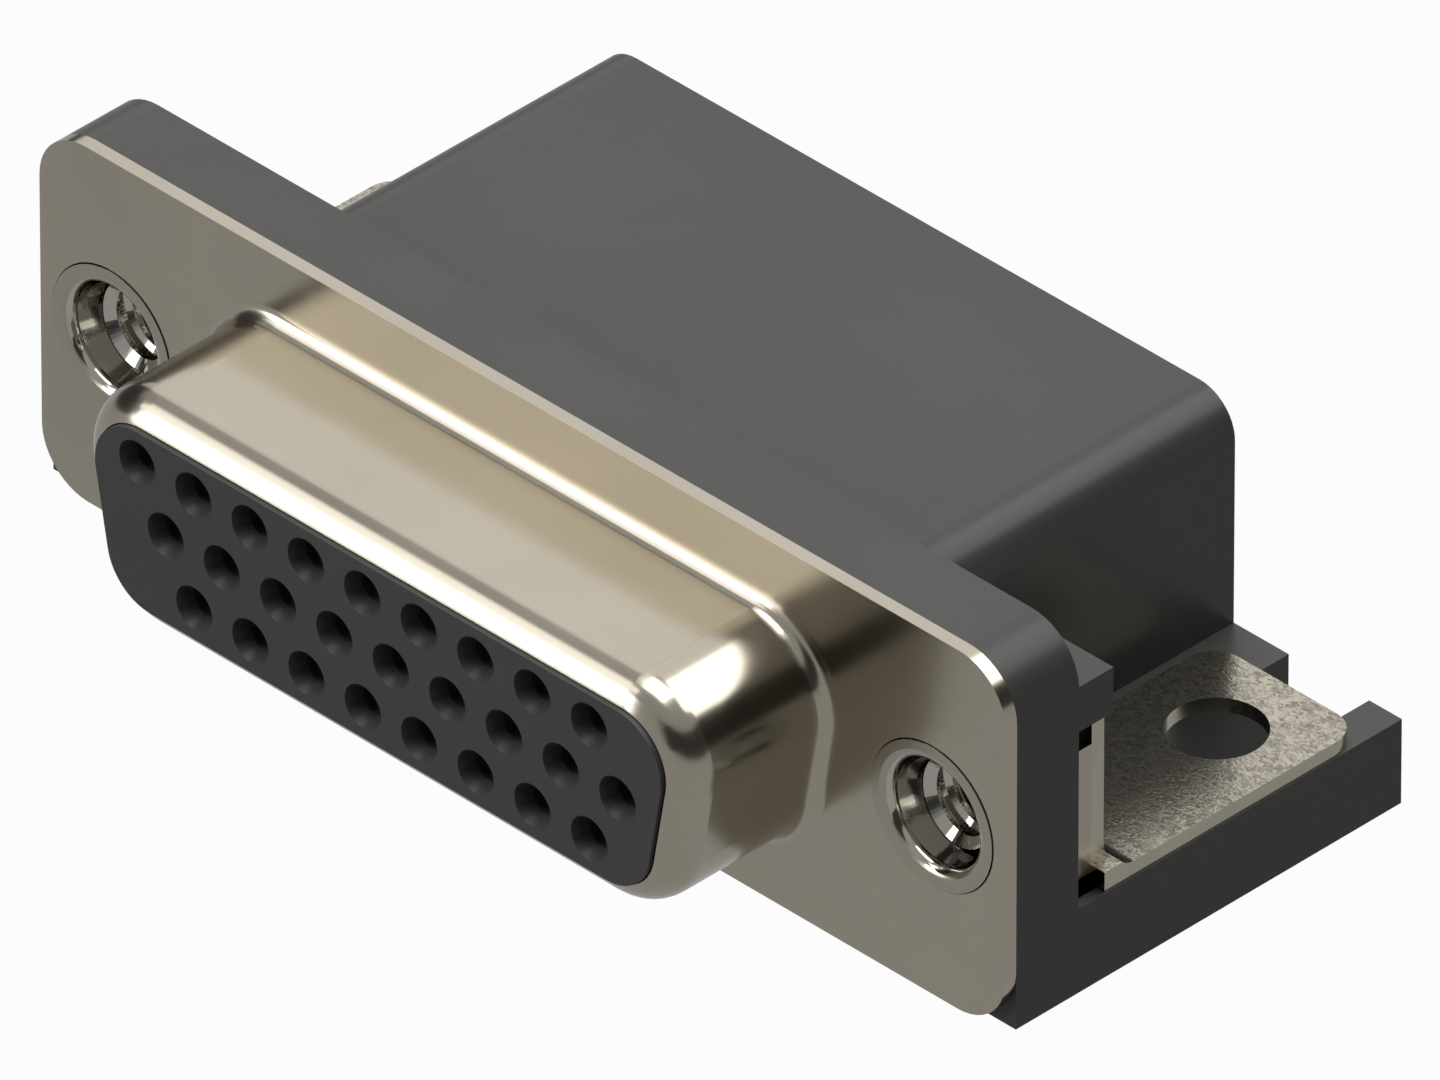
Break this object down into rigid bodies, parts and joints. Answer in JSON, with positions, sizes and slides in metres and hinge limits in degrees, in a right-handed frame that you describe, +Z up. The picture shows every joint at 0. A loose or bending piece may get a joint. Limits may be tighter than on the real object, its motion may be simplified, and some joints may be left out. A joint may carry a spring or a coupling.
{
  "type": "right-angle d-sub connector",
  "caption": "Right-angle high-density D-sub socket connector for a printed circuit board, with threaded inserts and board brackets.",
  "frame": {"origin": "on the board plane, midway between the two board screw holes", "axes": "+X to the right seen from the front, +Y towards the rear, +Z up from the board"},
  "size_m": [0.0393, 0.0219, 0.0157],
  "materials": {
    "shell_nickel": "satin nickel plate",
    "insulator_black": "semi-gloss black resin",
    "housing_black": "semi-gloss black resin",
    "bracket_nickel": "nickel plate with a fine grain",
    "insert_nickel": "bright nickel plate",
    "contact_gold": "gold over nickel, tinned tails"
  },
  "bodies": {
    "root": {"front_shell": "shell_nickel", "front_insulator": "insulator_black", "rear_housing": "housing_black", "tail_organiser": "housing_black", "bracket_left": "bracket_nickel", "bracket_right": "bracket_nickel", "threaded_insert_left": "insert_nickel", "threaded_insert_right": "insert_nickel", "contact_01": "contact_gold", "contact_02": "contact_gold", "contact_03": "contact_gold", "contact_04": "contact_gold", "contact_05": "contact_gold", "contact_06": "contact_gold", "contact_07": "contact_gold", "contact_08": "contact_gold", "contact_09": "contact_gold", "contact_10": "contact_gold", "contact_11": "contact_gold", "contact_12": "contact_gold", "contact_13": "contact_gold", "contact_14": "contact_gold", "contact_15": "contact_gold", "contact_16": "contact_gold", "contact_17": "contact_gold", "contact_18": "contact_gold", "contact_19": "contact_gold", "contact_20": "contact_gold", "contact_21": "contact_gold", "contact_22": "contact_gold", "contact_23": "contact_gold", "contact_24": "contact_gold", "contact_25": "contact_gold", "contact_26": "contact_gold"}
  },
  "joints": []
}
